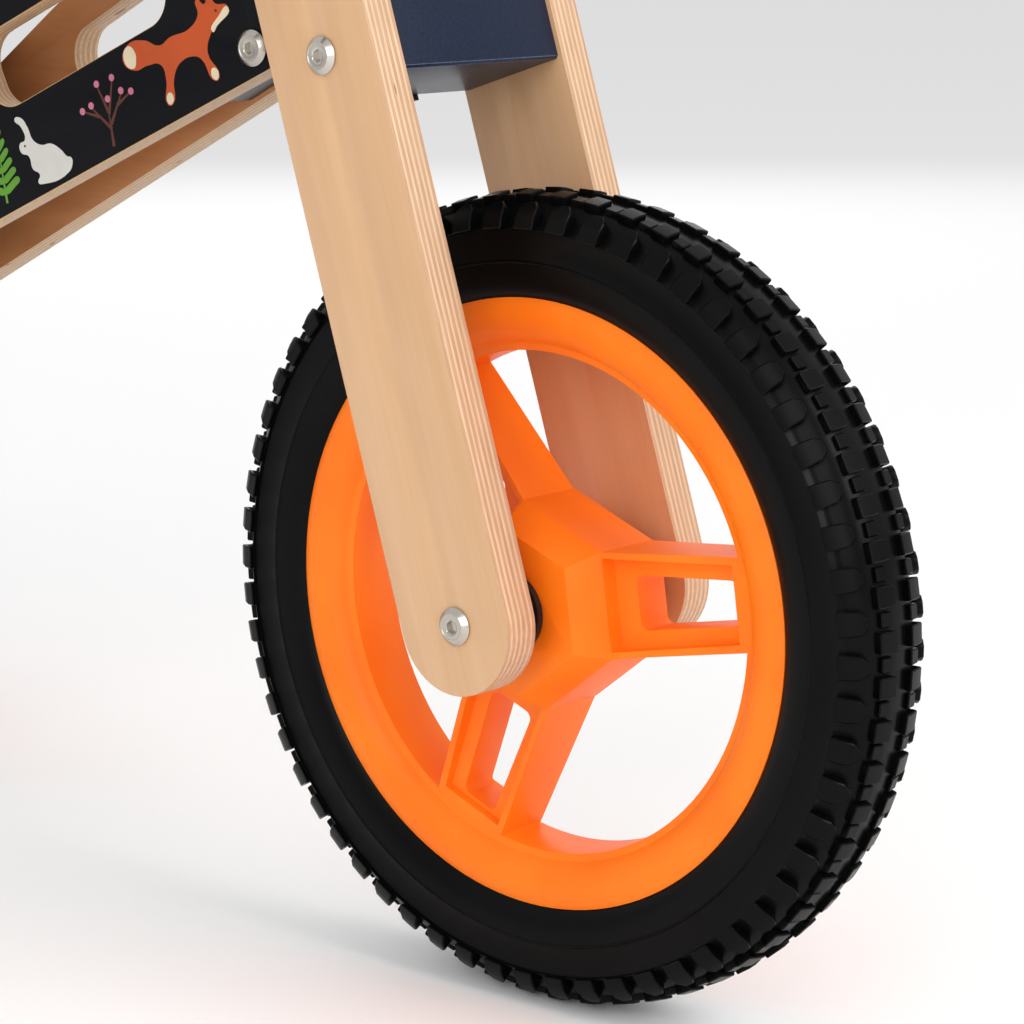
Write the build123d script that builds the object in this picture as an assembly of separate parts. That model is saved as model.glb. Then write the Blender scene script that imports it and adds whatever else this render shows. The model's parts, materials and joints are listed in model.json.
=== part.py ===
from build123d import *
import os
from math import atan2, cos, degrees, radians, sin, tan

# A child's balance bike: two plywood panels in a V, a plywood fork that steers
# on a pin, two moulded wheels with foam tyres and a seat that slides up and down.
# Millimetres. +X is forward, +Y is the rider's left, +Z is up. The origin lies on
# the ground, midway between the axles.

# ---- driving sizes ---------------------------------------------------------
wheelbase = 535.0           # front axle to rear axle
wheel_radius = 152.0        # outside of the tyre, a 12-inch wheel
fork_tilt = 17.37           # degrees that the blades lean back
hub_gap = 88.0              # clear width for a hub, in the fork and in the frame
running_fit = 0.05          # radial clearance of a part that turns
axial_play = 0.1            # gap left at each end of a part that turns

# fork; heights are measured up the blades from the front axle
blade_width = 51.0
blade_thickness = 15.0
blade_setback = 0.8         # how far the blade's centreline lies behind the axle
bar_height = 385.0
crown_bottom = 198.0
crown_top = 330.0
crown_front = 22.7
crown_rear = 25.3
crown_bolt_inset = 11.4     # from the crown block's ends to its bolts
crown_chamfer = 1.0
bar_block_depth = 42.0
bar_block_below = 35.0      # how far the bar block reaches below the bar
bar_block_above = 20.0
bar_block_bolt_drop = 25.0
lock_screw_radius = 3.0
lock_screw_head = 5.0

# handlebar
bar_radius = 11.0
bar_wall = 1.5
bar_length = 354.0
grip_length = 100.0
grip_wall = 4.6
grip_flange_radius = 20.0
grip_flange = 4.0
grip_end = 3.0

# steering
pivot_setback = 44.0        # from the front axle line back to the steering pin
pin_radius = 5.0
pin_head_radius = 8.5
pin_head = 5.0
nut_flat = 17.0
nut_height = 8.0
plate_thickness = 3.0
plate_half_width = 15.5
plate_below = 2.0           # how far the bracket shows under the crown block
ear_thickness = 4.0
ear_radius = 15.0
bracket_screw_radius = 2.5
bracket_screw_side = 11.0
bracket_screw_inset = 30.0
bracket_screw_length = 28.0
head_tube_radius = 12.0
bush_radius = 8.0
bush_flange_radius = 11.0
bush_flange = 1.5
bush_length = 18.0
thrust_washer = 1.4
tongue_reach = 62.0         # from the steering pin back to the tongue's end
tongue_inset = 3.0          # from the panel's edges to the tongue

# frame panels; their shape is set out from the front axle in side view
panel_thickness = 12.0
panels_meet_behind = 63.4   # from the front axle back to where their inner faces would meet
lower_edge_angle = 24.75
lower_edge_over_axle = 249.5
panel_front_setback = 57.0
panel_front_height = 97.0   # length of the panel's front edge
panel_bend_back = 290.0     # where the top edge dips in front of the seat
panel_bend_up = 210.0
panel_waist_ahead = 20.0    # top edge in front of the seat post's middle
panel_waist_above = 38.0    # and over the clamp bolts
panel_tail_behind = 32.0    # top edge behind the post's middle
panel_tail_above = 7.0
panel_heel_ahead = 97.0     # from the rear axle to where the lower edge turns down
dropout_radius = 28.0
panel_corner = 10.0
panel_curve = 45.0
panel_heel_curve = 120.0
slot_back = 206.0
slot_up_from_edge = 53.8
slot_length = 104.0
slot_height = 31.5
slot_corner = 13.0

# bolts with a flat round head
head_radius = 7.0
head_height = 2.6
head_chamfer = 1.7          # the wide cone round the flat top
shank_radius = 3.0
socket_flat = 4.5
socket_depth = 1.8
crown_bolt_grip = 25.0
head_bolt_setback = 71.3
head_bolt_rise = 9.3        # from the panel's lower front corner up to a bolt
head_bolt_drop = 25.0       # from its upper front corner down to the other
head_bolt_gap = 0.6         # left between opposite bolts inside the tongue

# wheels
rim_radius = 113.8
rim_half_width = 17.0
rim_opening = 94.0
rim_opening_half = 11.5
rim_step = 2.6
rim_crown_radius = 104.5
rim_crown = 0.9
tyre_bed_radius = 102.0
flange_thickness = 3.2
hub_half = 28.0
hub_face_radius = 31.3
hub_waist_half = 15.0
hub_waist_radius = 39.3
spoke_count = 3
spoke_angle = 8.0
spoke_hub_half = 19.8
spoke_rim_half = 16.7
spoke_wall = 2.6
web_half = 8.0
window_start = 43.5
window_end = 88.4
window_hub_half = 10.2
window_rim_half = 8.0
window_corner = 3.0
tyre_shoulder_half = 22.0
tyre_shoulder_drop = 7.0
tyre_round = 5.0

# axles and bearings
axle_radius = 5.0
bearing_radius = 13.0
bearing_width = 8.0
race_radius = 8.0
bearing_shoulder = 2.0
cap_radius = 15.0
cap_rim = 2.6
cap_neck_radius = 9.0
cap_gap = 0.3

# seat
post_ahead = 163.0          # from the rear axle forward to the post's middle
post_length = 52.0
post_height = 118.0
post_tyre_gap = 14.0        # from the rear tyre up to the post's foot
post_gap = 0.3              # between the post and each panel
post_slot_end = 9.0         # wood left under the slots
seat_travel = 40.0
clamp_bolt_spacing = 26.0
clamp_bolt_radius = 4.0
clamp_clearance = 0.2
clamp_head_radius = 8.0
spotface = 1.0              # least depth of the flat cut under a head
seat_nose_ahead = 56.0      # from the post's middle to the seat's front
seat_length = 218.0
seat_front_radius = 40.0
seat_rear_radius = 76.0
seat_base_thickness = 9.0
cushion_height = 38.0
cushion_edge = 14.0
cushion_overhang = 2.0
seat_screw_radius = 2.5
seat_screw_length = 30.0
seat_screw_inset = 11.0

# ---- worked out once -------------------------------------------------------
front_x = wheelbase / 2
rear_x = -wheelbase / 2
gap_half = hub_gap / 2
fork_half = gap_half + blade_thickness
splay = degrees(atan2(gap_half, wheelbase - panels_meet_behind))
end_radius = blade_width / 2
bracket_bottom = crown_bottom - plate_below
bracket_top = crown_top + plate_below
tube_bottom = bracket_bottom + ear_thickness + thrust_washer + axial_play + bush_flange
tube_top = bracket_top - ear_thickness - thrust_washer - axial_play - bush_flange
bracket_face = -crown_rear - plate_thickness
post_x = rear_x + post_ahead
seat_front_x = post_x + seat_nose_ahead
post_tail = post_ahead - post_length / 2
tyre_under_post = max(wheel_radius ** 2 - post_tail ** 2, 0.0) ** 0.5
post_bottom = wheel_radius + tyre_under_post + post_tyre_gap
post_top = post_bottom + post_height
clamp_slot_radius = clamp_bolt_radius + clamp_clearance
clamp_bolt_height = post_bottom + post_slot_end + clamp_slot_radius + seat_travel
at_front_axle = Location((front_x, 0, wheel_radius))
at_rear_axle = Location((rear_x, 0, wheel_radius))
at_fork = Location((front_x, 0, wheel_radius), (0, -fork_tilt, 0))


def drum(radius, y_low, y_high, x=0.0, z=0.0):
    """A round bar along Y."""
    disc = Plane.XZ * Pos(x, z) * Circle(radius)
    return Pos(0, y_low, 0) * extrude(disc, y_high - y_low, dir=(0, 1, 0))


def ring(outer, inner, y_low, y_high):
    """A round washer or sleeve about the Y axis."""
    return drum(outer, y_low, y_high) - drum(inner, y_low - 1, y_high + 1)


def bar_up(radius, z_low, z_high, x=0.0, y=0.0):
    """A round bar along Z."""
    return Pos(x, y, z_low) * extrude(Circle(radius), z_high - z_low)


def block(x_low, x_high, y_low, y_high, z_low, z_high):
    """A box from corner to corner."""
    size = (x_high - x_low, y_high - y_low, z_high - z_low)
    middle = ((x_high + x_low) / 2, (y_high + y_low) / 2, (z_high + z_low) / 2)
    return Pos(*middle) * Box(*size)


def both_sides(shape):
    """A shape and its mirror image across the bike's middle plane."""
    return [shape, mirror(shape, Plane.XZ)]


def flat_head_bolt(length, radius=shank_radius, cap=head_radius):
    """A bolt that points along -Y, with the underside of its head at y = 0."""
    head = drum(cap, 0, head_height)
    outer_edge = head.edges().sort_by(Axis.Y)[-1]
    head = chamfer(outer_edge, head_chamfer)
    key = Plane.XZ * RegularPolygon(socket_flat / 2, 6, major_radius=False)
    key_hole = extrude(key, socket_depth + 1, dir=(0, 1, 0))
    head -= Pos(0, head_height - socket_depth, 0) * key_hole
    return head + drum(radius, -length, 0)


# ---- frame panels ----------------------------------------------------------
def fork_to_side(back, up):
    """Side-view place, from the front axle, of a point behind and up the fork."""
    tilt = radians(fork_tilt)
    return (-back * cos(tilt) - up * sin(tilt), -back * sin(tilt) + up * cos(tilt))


def lower_edge(x):
    """Height of the panel's lower edge above the axles."""
    return lower_edge_over_axle + x * tan(radians(lower_edge_angle))


def front_corner_height():
    """Where the panel's front edge meets its lower edge, up the fork."""
    x0, z0 = fork_to_side(panel_front_setback, 0)
    slope = tan(radians(lower_edge_angle))
    tilt = radians(fork_tilt)
    return (lower_edge(x0) - z0) / (cos(tilt) + slope * sin(tilt))


def tangent_point(point, side):
    """Where a line from a point touches the dropout, above (1) or below (-1) it."""
    dx, dz = point[0] + wheelbase, point[1]
    distance = (dx * dx + dz * dz) ** 0.5
    opening = (distance ** 2 - dropout_radius ** 2) ** 0.5
    turn = atan2(dz, dx) + side * atan2(opening, dropout_radius)
    return (-wheelbase + dropout_radius * cos(turn), dropout_radius * sin(turn))


def panel_outline():
    """Side view of a panel, from the front axle."""
    corner_up = front_corner_height()
    front_low = fork_to_side(panel_front_setback, corner_up)
    front_high = fork_to_side(panel_front_setback, corner_up + panel_front_height)
    bend = (-panel_bend_back, panel_bend_up)
    clamp_up = clamp_bolt_height - wheel_radius
    waist = (post_x - front_x + panel_waist_ahead, clamp_up + panel_waist_above)
    tail = (post_x - front_x - panel_tail_behind, clamp_up + panel_tail_above)
    heel_x = panel_heel_ahead - wheelbase
    heel = (heel_x, lower_edge(heel_x))
    points = [front_low, front_high, bend, waist, tail, tangent_point(tail, 1)]
    points += [(-wheelbase, 0), tangent_point(heel, -1), heel]
    face = make_face(Polyline(points, close=True)) + Pos(-wheelbase, 0) * Circle(dropout_radius)
    for place, radius in [
        (front_low, panel_corner),
        (front_high, 2 * panel_corner),
        (bend, 2 * panel_curve),
        (waist, panel_curve),
        (tail, 2 * panel_curve),
        (heel, panel_heel_curve),
    ]:
        corner = face.vertices().sort_by_distance(Vector(*place, 0))[0]
        face = fillet(corner, radius)
    return face


def hand_slot():
    """Side view of the carrying slot, from the front axle."""
    slant = radians(lower_edge_angle)
    middle_x = -slot_back - slot_up_from_edge * sin(slant)
    middle_z = lower_edge(-slot_back) + slot_up_from_edge * cos(slant)
    shape = RectangleRounded(slot_length, slot_height, slot_corner)
    return Pos(middle_x, middle_z) * Rot(0, 0, lower_edge_angle) * shape


def inner_plane_y(x):
    """Half the clear width between the panels at a place along the bike."""
    return gap_half - (x - rear_x) * tan(radians(splay))


def on_panel(x, z):
    """A frame on the left panel's outer face, with its Y axis out of the face."""
    y = inner_plane_y(x) + panel_thickness / cos(radians(splay))
    return Location((x, y, z), (0, 0, -splay))


def left_panel():
    """The left panel: cut square to its own face, then splayed and drilled."""
    stretch = 1 / cos(radians(splay))
    face = scale(Pos(wheelbase, 0) * (panel_outline() - hand_slot()), (stretch, 1, 1))
    flat = extrude(Plane.XZ * face, panel_thickness, dir=(0, 1, 0))
    panel = Location((rear_x, gap_half, wheel_radius), (0, 0, -splay)) * flat
    for x, z in head_bolt_places():
        panel -= on_panel(x, z) * drum(shank_radius, -2 * panel_thickness, 1)
    for x in clamp_bolt_xs():
        panel -= outer_flat(x, clamp_bolt_height, clamp_bolt_radius, clamp_head_radius + 1)
    panel -= outer_flat(rear_x, wheel_radius, axle_radius, head_radius + 1)
    return panel


def outer_flat_y(x, pocket_radius):
    """Distance from the middle plane to a flat cut square across the panel."""
    outer = inner_plane_y(x) + panel_thickness / cos(radians(splay))
    return outer - pocket_radius * tan(radians(splay)) - spotface


def outer_flat(x, z, hole_radius, pocket_radius):
    """A hole along Y with a flat pocket for a bolt head."""
    seat = outer_flat_y(x, pocket_radius)
    return drum(hole_radius, 0, hub_gap, x, z) + drum(pocket_radius, seat, hub_gap, x, z)


def side_to_bike(x, z):
    """From a place measured from the front axle to the bike's own frame."""
    return (front_x + x, wheel_radius + z)


# ---- head fitting and steering ---------------------------------------------
def head_bolt_places():
    """The head bolts, from low to high, in the bike's side view."""
    corner_up = front_corner_height()
    heights = (corner_up + head_bolt_rise, corner_up + panel_front_height - head_bolt_drop)
    return [side_to_bike(*fork_to_side(head_bolt_setback, up)) for up in heights]


def between_panels():
    """The wedge of space between the panels' inner faces."""
    x_back = rear_x - dropout_radius
    x_meet = front_x - panels_meet_behind
    corners = [(x_back, inner_plane_y(x_back)), (x_meet, 0), (x_back, -inner_plane_y(x_back))]
    return extrude(make_face(Polyline(corners, close=True)), wheelbase)


def fork_strip(back_low, back_high, up_low, up_high):
    """A rectangle square to the fork, in side view from the front axle."""
    corners = [(back_low, up_low), (back_high, up_low), (back_high, up_high), (back_low, up_high)]
    return make_face(Polyline([fork_to_side(*corner) for corner in corners], close=True))


def head_fitting():
    """A cast head tube with a wedge tongue that fills the V between the panels."""
    low = front_corner_height() + panel_corner
    high = low + panel_front_height - 3 * panel_corner
    side = offset(panel_outline(), -tongue_inset)
    side &= fork_strip(0, pivot_setback + tongue_reach, 0, bar_height)
    side += fork_strip(pivot_setback, panel_front_setback + panel_corner, low, high)
    tongue = extrude(Plane.XZ * side, hub_gap, dir=(0, 1, 0))
    tongue = at_front_axle * Pos(0, -gap_half, 0) * tongue & between_panels()
    tube = at_fork * bar_up(head_tube_radius, tube_bottom, tube_top, -pivot_setback)
    fitting = tongue + tube
    fitting -= at_fork * bar_up(bush_radius, 0, bar_height, -pivot_setback)
    for bolt in head_bolts():
        fitting -= bolt
    return fitting


def head_bolts():
    """Short bolts that hold each panel to the tongue from its own side."""
    bolts = []
    for x, z in head_bolt_places():
        depth = inner_plane_y(x) * cos(radians(splay)) - head_bolt_gap
        bolts += both_sides(on_panel(x, z) * flat_head_bolt(panel_thickness + depth))
    return bolts


def steering_bushes():
    """Flanged bushes pressed into the ends of the head tube."""
    bushes = []
    for end, inward in ((tube_bottom, 1), (tube_top, -1)):
        flange = sorted((end - inward * bush_flange, end))
        sleeve = sorted((end, end + inward * bush_length))
        bush = bar_up(bush_flange_radius, *flange) + bar_up(bush_radius, *sleeve)
        bush -= bar_up(pin_radius + running_fit, 0, bar_height)
        bushes.append(at_fork * Pos(-pivot_setback, 0, 0) * bush)
    return bushes


def thrust_washers():
    """Washers between the bracket's ears and the bushes."""
    washers = []
    for low in (bracket_bottom + ear_thickness, bracket_top - ear_thickness - thrust_washer):
        washer = bar_up(bush_flange_radius, low, low + thrust_washer)
        washer -= bar_up(pin_radius, low - 1, low + thrust_washer + 1)
        washers.append(at_fork * Pos(-pivot_setback, 0, 0) * washer)
    return washers


def steering_bracket():
    """A steel clevis: a plate on the crown block with an ear at each end."""
    half = plate_half_width
    shape = block(bracket_face, -crown_rear, -half, half, bracket_bottom, bracket_top)
    for low in (bracket_bottom, bracket_top - ear_thickness):
        high = low + ear_thickness
        arm = block(-pivot_setback, -crown_rear, -ear_radius, ear_radius, low, high)
        shape += arm + bar_up(ear_radius, low, high, -pivot_setback)
    shape -= bar_up(pin_radius, 0, bar_height, -pivot_setback)
    for screw in upright_bracket_screws():
        shape -= screw
    return at_fork * shape


def upright_bracket_screws():
    """Countersunk wood screws through the bracket's plate, before the fork leans."""
    screws = []
    for height in (bracket_bottom + bracket_screw_inset, bracket_top - bracket_screw_inset):
        for side in (-bracket_screw_side, bracket_screw_side):
            top = 2 * bracket_screw_radius
            head = Cone(top, bracket_screw_radius, bracket_screw_radius)
            shank = Pos(0, 0, bracket_screw_length / 2)
            shank *= Cylinder(bracket_screw_radius, bracket_screw_length)
            screw = Pos(0, 0, bracket_screw_radius / 2) * head + shank
            screws.append(Location((bracket_face, side, height), (0, 90, 0)) * screw)
    return screws


def steering_pin():
    """The bolt that the fork turns on, with its head on top."""
    low = bracket_bottom - nut_height - 2
    pin = bar_up(pin_radius, low, bracket_top)
    pin += bar_up(pin_head_radius, bracket_top, bracket_top + pin_head)
    return at_fork * Pos(-pivot_setback, 0, 0) * pin


def steering_nut():
    """The lock nut under the lower ear."""
    face = RegularPolygon(nut_flat / 2, 6, major_radius=False) - Circle(pin_radius)
    low = bracket_bottom - nut_height
    return at_fork * Pos(-pivot_setback, 0, low) * extrude(face, nut_height)


# ---- fork ------------------------------------------------------------------
def block_bolt_heights():
    """Heights of the bolts into the crown block, then of those into the bar block."""
    crown = [crown_bottom + crown_bolt_inset, crown_top - crown_bolt_inset]
    return crown, [bar_height - bar_block_bolt_drop]


def left_blade():
    """A plywood blade with round ends about the axle and the handlebar."""
    middle = -blade_setback
    outline = Pos(middle, 0) * Circle(end_radius) + Pos(middle, bar_height) * Circle(end_radius)
    outline += Pos(middle, bar_height / 2) * Rectangle(blade_width, bar_height)
    blade = Pos(0, gap_half, 0) * extrude(Plane.XZ * outline, blade_thickness, dir=(0, 1, 0))
    blade -= drum(axle_radius, 0, 2 * fork_half)
    blade -= drum(bar_radius, 0, 2 * fork_half, 0, bar_height)
    for heights in block_bolt_heights():
        for height in heights:
            blade -= drum(shank_radius, 0, 2 * fork_half, 0, height)
    return at_fork * blade


def block_bolts(heights):
    """Bolts through both blades into a block between them."""
    bolts = []
    for height in heights:
        bolt = flat_head_bolt(blade_thickness + crown_bolt_grip)
        bolts += both_sides(Pos(0, fork_half, height) * bolt)
    return bolts


def crown_block():
    """The painted hardwood block that ties the blades together over the wheel."""
    low, high = crown_bottom, crown_top
    shape = block(-crown_rear, crown_front, -gap_half, gap_half, low, high)
    long_edges = shape.edges().filter_by(Axis.Y)
    shape = chamfer(long_edges, crown_chamfer)
    for bolt in block_bolts(block_bolt_heights()[0]) + upright_bracket_screws():
        shape -= bolt
    return at_fork * shape


def bar_block():
    """The upper block, bored for the handlebar."""
    low, high = bar_height - bar_block_below, bar_height + bar_block_above
    half = bar_block_depth / 2
    shape = block(-half, half, -gap_half, gap_half, low, high)
    shape = chamfer(shape.edges().filter_by(Axis.Y), crown_chamfer)
    shape -= drum(bar_radius, -hub_gap, hub_gap, 0, bar_height)
    shape -= bar_up(lock_screw_radius, bar_height, high + 1)
    for bolt in block_bolts(block_bolt_heights()[1]):
        shape -= bolt
    return at_fork * shape


def bar_lock_screw():
    """The screw on top of the bar block that stops the handlebar turning."""
    top = bar_height + bar_block_above
    screw = bar_up(lock_screw_radius, bar_height + bar_radius, top)
    screw += bar_up(lock_screw_head, top, top + lock_screw_radius)
    return at_fork * screw


def handlebar():
    """A straight steel tube."""
    half = bar_length / 2
    tube = ring(bar_radius, bar_radius - bar_wall, -half, half)
    return at_fork * Pos(0, 0, bar_height) * tube


def left_grip():
    """A rubber grip with a flange at its inner end and a closed outer end."""
    outer = bar_length / 2 + grip_end
    inner = outer - grip_length
    grip = drum(bar_radius + grip_wall, inner, outer)
    grip = fillet(grip.edges().sort_by(Axis.Y)[-1], grip_wall)
    grip += drum(grip_flange_radius, inner, inner + grip_flange)
    grip -= drum(bar_radius, inner - 1, bar_length / 2)
    return at_fork * Pos(0, 0, bar_height) * grip


# ---- wheels ----------------------------------------------------------------
def revolve_profile(points):
    """Turn (radius, y) points about the axle."""
    return revolve(make_face(Polyline(points, close=True)), Axis.Y)


def rim_ring():
    """The rim: a stepped inner ring and a crowned band on each side of the tyre bed."""
    def flank(side):
        start = (rim_opening + rim_step, side * (rim_opening_half + rim_step / 4))
        crest = (rim_crown_radius, side * (rim_half_width + rim_crown))
        end = (rim_radius, side * rim_half_width)
        return start, crest, end

    start, crest, end = flank(1)
    low_start, low_crest, low_end = flank(-1)
    bed_half = rim_half_width - flange_thickness - rim_step / 2
    flange_half = rim_half_width - flange_thickness
    edges = [
        Line((rim_opening, -rim_opening_half), (rim_opening, rim_opening_half)),
        Line((rim_opening, rim_opening_half), start),
        ThreePointArc(start, crest, end),
        Line(end, (rim_radius, flange_half)),
        Line((rim_radius, flange_half), (tyre_bed_radius, bed_half)),
        Line((tyre_bed_radius, bed_half), (tyre_bed_radius, -bed_half)),
        Line((tyre_bed_radius, -bed_half), (rim_radius, -flange_half)),
        Line((rim_radius, -flange_half), low_end),
        ThreePointArc(low_end, low_crest, low_start),
        Line(low_start, (rim_opening, -rim_opening_half)),
    ]
    return revolve(make_face(edges), Axis.Y)


def hexagon(radius, y):
    """A hexagon across the axle whose corners lie between the spokes' middles."""
    return Pos(0, y, 0) * (Plane.XZ * RegularPolygon(radius, 6, rotation=30))


def hub_body():
    """A six-sided hub, tapered towards both faces."""
    waist = Pos(0, -hub_waist_half, 0)
    waist *= extrude(hexagon(hub_waist_radius, 0), 2 * hub_waist_half, dir=(0, 1, 0))
    taper = loft([hexagon(hub_waist_radius, hub_waist_half), hexagon(hub_face_radius, hub_half)])
    return waist + taper + mirror(taper, Plane.XZ)


def spoke_plan(start, end, start_half, end_half):
    """A symmetric tapered outline along +X, in the wheel's plane."""
    corners = [(start, -start_half), (end, -end_half), (end, end_half), (start, start_half)]
    return make_face(Polyline(corners, close=True))


def spoke():
    """A double spoke: two side walls, a web between them and a window in the web."""
    hub_edge = hub_waist_radius * cos(radians(30))
    reach = rim_opening + rim_step
    outline = spoke_plan(hub_edge - 8, reach, spoke_hub_half, spoke_rim_half)
    slab = Pos(0, -hub_waist_half, 0)
    slab *= extrude(Plane.XZ * outline, 2 * hub_waist_half, dir=(0, 1, 0))
    top = spoke_plan(hub_edge - 8, reach, hub_waist_half, rim_opening_half)
    slab &= Pos(0, 0, -gap_half) * extrude(top, hub_gap)
    recess = spoke_plan(
        hub_edge, rim_opening - 1.6 * spoke_wall, spoke_hub_half - spoke_wall, spoke_rim_half - spoke_wall
    )
    pocket = Pos(0, web_half, 0) * extrude(Plane.XZ * recess, hub_half, dir=(0, 1, 0))
    slab -= pocket + mirror(pocket, Plane.XZ)
    hole = spoke_plan(window_start, window_end, window_hub_half, window_rim_half)
    hole = fillet(hole.vertices(), window_corner)
    slab -= Pos(0, -hub_half, 0) * extrude(Plane.XZ * hole, 2 * hub_half, dir=(0, 1, 0))
    return slab


def rim():
    """The whole moulded wheel, with seats for two bearings."""
    wheel = rim_ring() + hub_body()
    arm = spoke()
    for number in range(spoke_count):
        wheel += Rot(0, -number * 360 / spoke_count, 0) * arm
    seat = hub_half - bearing_width
    wheel -= drum(bearing_radius, seat, hub_half + 1)
    wheel -= drum(bearing_radius, -hub_half - 1, -seat)
    wheel -= drum(bearing_radius - bearing_shoulder, -hub_half, hub_half)
    return Rot(0, -spoke_angle, 0) * wheel


def tyre():
    """A foam tyre whose foot fills the rim's bed."""
    flange_half = rim_half_width - flange_thickness
    bed_half = flange_half - rim_step / 2
    shoulder = wheel_radius - tyre_shoulder_drop
    side = [
        (tyre_bed_radius, 0),
        (tyre_bed_radius, bed_half),
        (rim_radius, flange_half),
        (rim_radius, rim_half_width),
        (rim_radius + 2 * tyre_round, tyre_shoulder_half - 1.0),
        (shoulder - 3 * tyre_round, tyre_shoulder_half),
        (shoulder - tyre_round, tyre_shoulder_half),
        (shoulder, tyre_shoulder_half - tyre_round / 2),
        (wheel_radius - 1.0, tyre_shoulder_half / 2.2),
        (wheel_radius, 0),
    ]
    half = revolve_profile(side)
    return half + mirror(half, Plane.XZ)


def bearing_rings(outer, inner):
    """The same bearing ring at both ends of a hub."""
    return both_sides(ring(outer, inner, hub_half - bearing_width, hub_half))


def axle(half):
    """A plain shaft along Y."""
    return drum(axle_radius, -half, half)


def axle_bolts(half):
    """Bolts in the ends of an axle."""
    depth = 4 * shank_radius
    return both_sides(Pos(0, half, 0) * flat_head_bolt(depth))


def drilled_axle(half):
    """An axle bored at both ends for its bolts."""
    shaft = axle(half)
    for bolt in axle_bolts(half):
        shaft -= bolt
    return shaft


def bearing_cap(reach):
    """A black cap between a bearing's inner ring and what holds the axle."""
    start = hub_half + cap_gap
    cap = ring(race_radius, axle_radius, hub_half, start + cap_rim)
    cap += ring(cap_radius, axle_radius, start, start + cap_rim)
    return cap + ring(cap_neck_radius, axle_radius, start + cap_rim, reach)


def rear_caps():
    """Rear caps, cut on the slant to lie against the splayed panels."""
    cap = at_rear_axle * bearing_cap(gap_half + cap_neck_radius)
    cap &= between_panels()
    return both_sides(cap)


# ---- seat ------------------------------------------------------------------
def clamp_bolt_xs():
    """Places of the two clamp bolts along the bike."""
    half = clamp_bolt_spacing / 2
    return [post_x - half, post_x + half]


def seat_post():
    """A hardwood post that fills the V and is slotted for the clamp bolts."""
    back, front = post_x - post_length / 2, post_x + post_length / 2
    corners = [
        (back, inner_plane_y(back) - post_gap),
        (front, inner_plane_y(front) - post_gap),
        (front, post_gap - inner_plane_y(front)),
        (back, post_gap - inner_plane_y(back)),
    ]
    plan = make_face(Polyline(corners, close=True))
    post = Pos(0, 0, post_bottom) * extrude(plan, post_top - post_bottom)
    radius = clamp_slot_radius
    high = clamp_bolt_height
    low = high - seat_travel
    for x in clamp_bolt_xs():
        slot = drum(radius, -gap_half, gap_half, x, low) + drum(radius, -gap_half, gap_half, x, high)
        slot += block(x - radius, x + radius, -gap_half, gap_half, low, high)
        post -= slot
    for screw in seat_screws():
        post -= screw
    return post


def clamp_half(x):
    """Distance from the middle plane to the flat under a clamp bolt's head."""
    return outer_flat_y(x, clamp_head_radius + 1)


def clamp_bolts():
    """Long bolts across the frame, one behind the other, heads on the right."""
    bolts = []
    for x in clamp_bolt_xs():
        half = clamp_half(x)
        bolt = flat_head_bolt(2 * half, clamp_bolt_radius, clamp_head_radius)
        place = Pos(x, half, clamp_bolt_height)
        bolts.append(mirror(place * bolt, Plane.XZ) - clamp_nut(x))
    return bolts


def clamp_nut(x):
    """A cap nut on the left end of a clamp bolt, let into the left panel's flat."""
    half = clamp_half(x)
    nut = drum(clamp_head_radius, half, half + head_height)
    nut = chamfer(nut.edges().sort_by(Axis.Y)[-1], head_chamfer)
    return Pos(x, 0, clamp_bolt_height) * nut


def seat_plan(extra=0.0):
    """The seat's outline: a narrow nose and a broad back."""
    nose = Pos(seat_front_x - seat_front_radius, 0) * Circle(seat_front_radius + extra)
    tail_x = seat_front_x - seat_length + seat_rear_radius
    tail = Pos(tail_x, 0) * Circle(seat_rear_radius + extra)
    return make_hull(nose.edges() + tail.edges())


def seat_base():
    """A plywood board screwed to the post."""
    board = Pos(0, 0, post_top) * extrude(seat_plan(), seat_base_thickness)
    for screw in seat_screws():
        board -= screw
    return board


def seat_cushion():
    """A padded cushion over the board."""
    low = post_top + seat_base_thickness
    pad = Pos(0, 0, low) * extrude(seat_plan(cushion_overhang), cushion_height)
    return fillet(pad.faces().sort_by(Axis.Z)[-1].edges(), cushion_edge)


def seat_screws():
    """Countersunk wood screws from the board down into the post."""
    screws = []
    top = post_top + seat_base_thickness
    for x_side in (-1, 1):
        for y_side in (-1, 1):
            x = post_x + x_side * (post_length / 2 - seat_screw_inset / 2)
            y = y_side * (inner_plane_y(x) - seat_screw_inset)
            head = Cone(seat_screw_radius, 2 * seat_screw_radius, seat_screw_radius)
            shank_low = top - seat_screw_length
            screw = bar_up(seat_screw_radius, shank_low, top)
            screw += Pos(0, 0, top - seat_screw_radius / 2) * head
            screws.append(Pos(x, y, 0) * screw)
    return screws


# ---- all the nodes ---------------------------------------------------------
def placed(shapes, location):
    return [location * shape for shape in shapes]


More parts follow.
